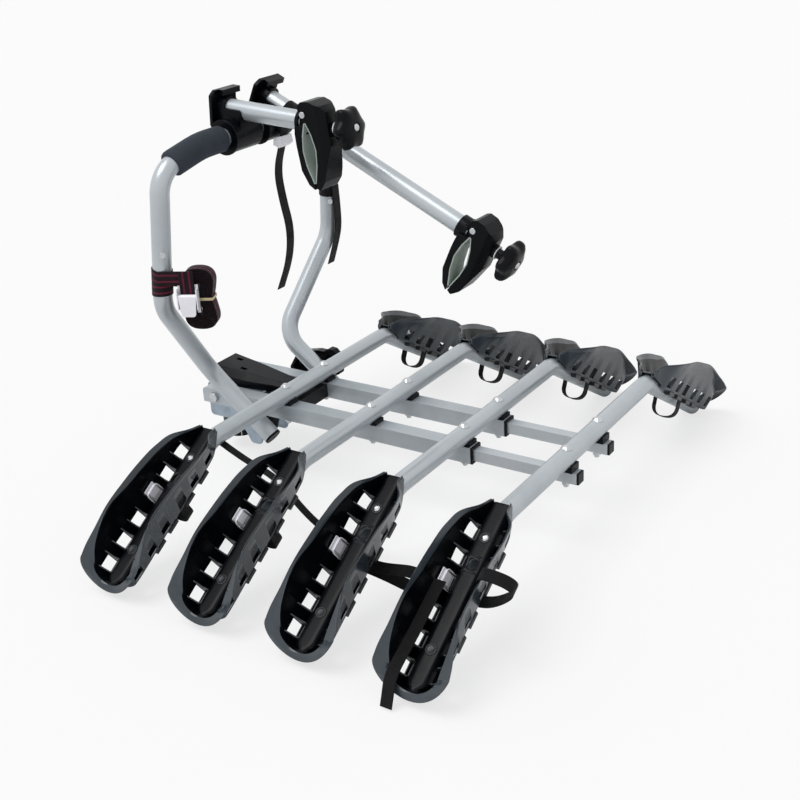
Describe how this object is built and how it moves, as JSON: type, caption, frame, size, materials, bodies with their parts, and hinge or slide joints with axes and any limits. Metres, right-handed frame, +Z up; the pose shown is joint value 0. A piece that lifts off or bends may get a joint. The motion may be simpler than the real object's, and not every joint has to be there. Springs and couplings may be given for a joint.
{
  "type": "hitch bike rack",
  "caption": "Tow-ball bike rack with wheel trays on tilting beams, a folding upright and clamp arms with hinged frame jaws.",
  "frame": {"origin": "centre of the tow ball in the socket", "axes": "+X leads away from the car, +Y runs along the wheel rails, +Z is up"},
  "size_m": [0.8825, 1.1246, 0.7182],
  "materials": {
    "silver_tube": "satin silver",
    "silver_beam": "satin silver",
    "black_plastic": "fine grain",
    "tray_plastic": "moulded, slightly glossy",
    "black_steel": "powder coat",
    "knob_plastic": "moulded",
    "foam": "foam grip",
    "pad_rubber": "soft",
    "zinc": "zinc plated",
    "buckle_metal": "pressed and plated",
    "webbing": "woven",
    "striped_webbing": "woven, with red stripes",
    "band_rubber": "rubber"
  },
  "bodies": {
    "hitch": {"hitch_bracket": "black_steel", "ball_socket": "black_steel", "hitch_bolts": "zinc", "hitch_cover": "black_plastic"},
    "clamp_jaw": {"clamp_jaw": "black_steel"},
    "handwheel": {"handwheel": "knob_plastic"},
    "platform": {"rail_1": "silver_tube", "rail_2": "silver_tube", "rail_3": "silver_tube", "rail_4": "silver_tube", "beam_near": "silver_beam", "beam_far": "silver_beam", "cross_tube": "black_steel", "beam_collars": "black_plastic", "extension_tubes": "silver_tube", "end_plugs": "black_plastic", "rail_saddles": "black_plastic", "rail_fixings": "zinc", "tray_screws": "zinc", "pivot_bolts": "zinc", "tray_straps": "webbing", "tray_buckles": "buckle_metal", "tray_1_near": "tray_plastic", "tray_1_far": "tray_plastic", "tray_2_near": "tray_plastic", "tray_2_far": "tray_plastic", "tray_3_near": "tray_plastic", "tray_3_far": "tray_plastic", "tray_4_near": "tray_plastic", "tray_4_far": "tray_plastic"},
    "upright": {"upright_frame": "silver_tube", "grip": "foam", "upright_plugs": "black_plastic", "upright_rivets": "zinc", "lever_pin": "zinc", "leg_straps": "striped_webbing", "tie_buckle": "buckle_metal", "rubber_band": "band_rubber"},
    "lock_lever": {"lock_lever": "black_plastic"},
    "tie_cam": {"tie_cam": "buckle_metal"},
    "band_1": {"arm_band_1": "black_plastic"},
    "band_2": {"arm_band_2": "black_plastic"},
    "arm_1": {"arm_bracket_1": "black_plastic", "arm_tube_1": "silver_tube", "jaw_claw_1": "black_plastic", "jaw_pin_1": "zinc", "claw_pad_1": "pad_rubber"},
    "arm_2": {"arm_bracket_2": "black_plastic", "arm_tube_2": "silver_tube", "jaw_claw_2": "black_plastic", "jaw_pin_2": "zinc", "claw_pad_2": "pad_rubber", "arm_strap": "webbing", "strap_buckle": "buckle_metal"},
    "block_1": {"jaw_block_1": "black_plastic", "block_pad_1": "pad_rubber"},
    "block_2": {"jaw_block_2": "black_plastic", "block_pad_2": "pad_rubber"},
    "knob_1": {"jaw_knob_1": "knob_plastic"},
    "knob_2": {"jaw_knob_2": "knob_plastic"}
  },
  "joints": [
    {"name": "platform_tilt", "type": "hinge", "parent": "hitch", "child": "platform", "pos_m": [0.01, 0, 0.08], "axis": [0, 1, 0], "range_deg": [0, 40]},
    {"name": "upright_fold", "type": "hinge", "parent": "platform", "child": "upright", "pos_m": [0.13, 0, 0.082], "axis": [0, 1, 0], "range_deg": [0, 17]},
    {"name": "lock_lever_turn", "type": "hinge", "parent": "upright", "child": "lock_lever", "pos_m": [0.118, 0, 0.088], "axis": [0, 1, 0], "range_deg": [0, 30]},
    {"name": "clamp_jaw_slide", "type": "slide", "parent": "hitch", "child": "clamp_jaw", "axis": [1, 0, 0], "range_m": [0, 0.006]},
    {"name": "handwheel_spin", "type": "hinge", "parent": "clamp_jaw", "child": "handwheel", "pos_m": [0.06, 0, 0.014], "axis": [1, 0, 0], "range_deg": [0, 720]},
    {"name": "band_1_slide", "type": "slide", "parent": "upright", "child": "band_1", "axis": [0, 1, 0], "range_m": [-0.005, 0.008]},
    {"name": "band_2_slide", "type": "slide", "parent": "upright", "child": "band_2", "axis": [0, 1, 0], "range_m": [-0.008, 0.004]},
    {"name": "arm_1_swing", "type": "hinge", "parent": "band_1", "child": "arm_1", "pos_m": [0.1004, -0.03, 0.5855], "axis": [0, 1, 0], "range_deg": [-80, 40]},
    {"name": "arm_2_swing", "type": "hinge", "parent": "band_2", "child": "arm_2", "pos_m": [0.1004, 0.06, 0.5855], "axis": [0, 1, 0], "range_deg": [-80, 6]},
    {"name": "jaw_1_open", "type": "hinge", "parent": "arm_1", "child": "block_1", "pos_m": [0.26435, -0.03, 0.63204], "axis": [0, -1, 0], "range_deg": [0, 25]},
    {"name": "knob_1_spin", "type": "hinge", "parent": "block_1", "child": "knob_1", "pos_m": [0.3283, -0.03, 0.60892], "axis": [0.9898, 0, 0.1426], "range_deg": [0, 1080]},
    {"name": "jaw_2_open", "type": "hinge", "parent": "arm_2", "child": "block_2", "pos_m": [0.53098, 0.06, 0.43905], "axis": [0, -1, 0], "range_deg": [0, 25]},
    {"name": "knob_2_spin", "type": "hinge", "parent": "block_2", "child": "knob_2", "pos_m": [0.5751, 0.06, 0.39282], "axis": [0.8973, 0, -0.4415], "range_deg": [0, 1080]},
    {"name": "tie_cam_turn", "type": "hinge", "parent": "upright", "child": "tie_cam", "pos_m": [0.13318, -0.24114, 0.355], "axis": [-0.9003, -0.4352, 0], "range_deg": [0, 80]}
  ],
  "couplings": [
    {"joint": "handwheel_spin", "follows": "clamp_jaw_slide", "rad_per_m": 2094.4},
    {"joint": "jaw_1_open", "follows": "knob_1_spin", "ratio": 0.023148},
    {"joint": "jaw_2_open", "follows": "knob_2_spin", "ratio": 0.023148}
  ]
}
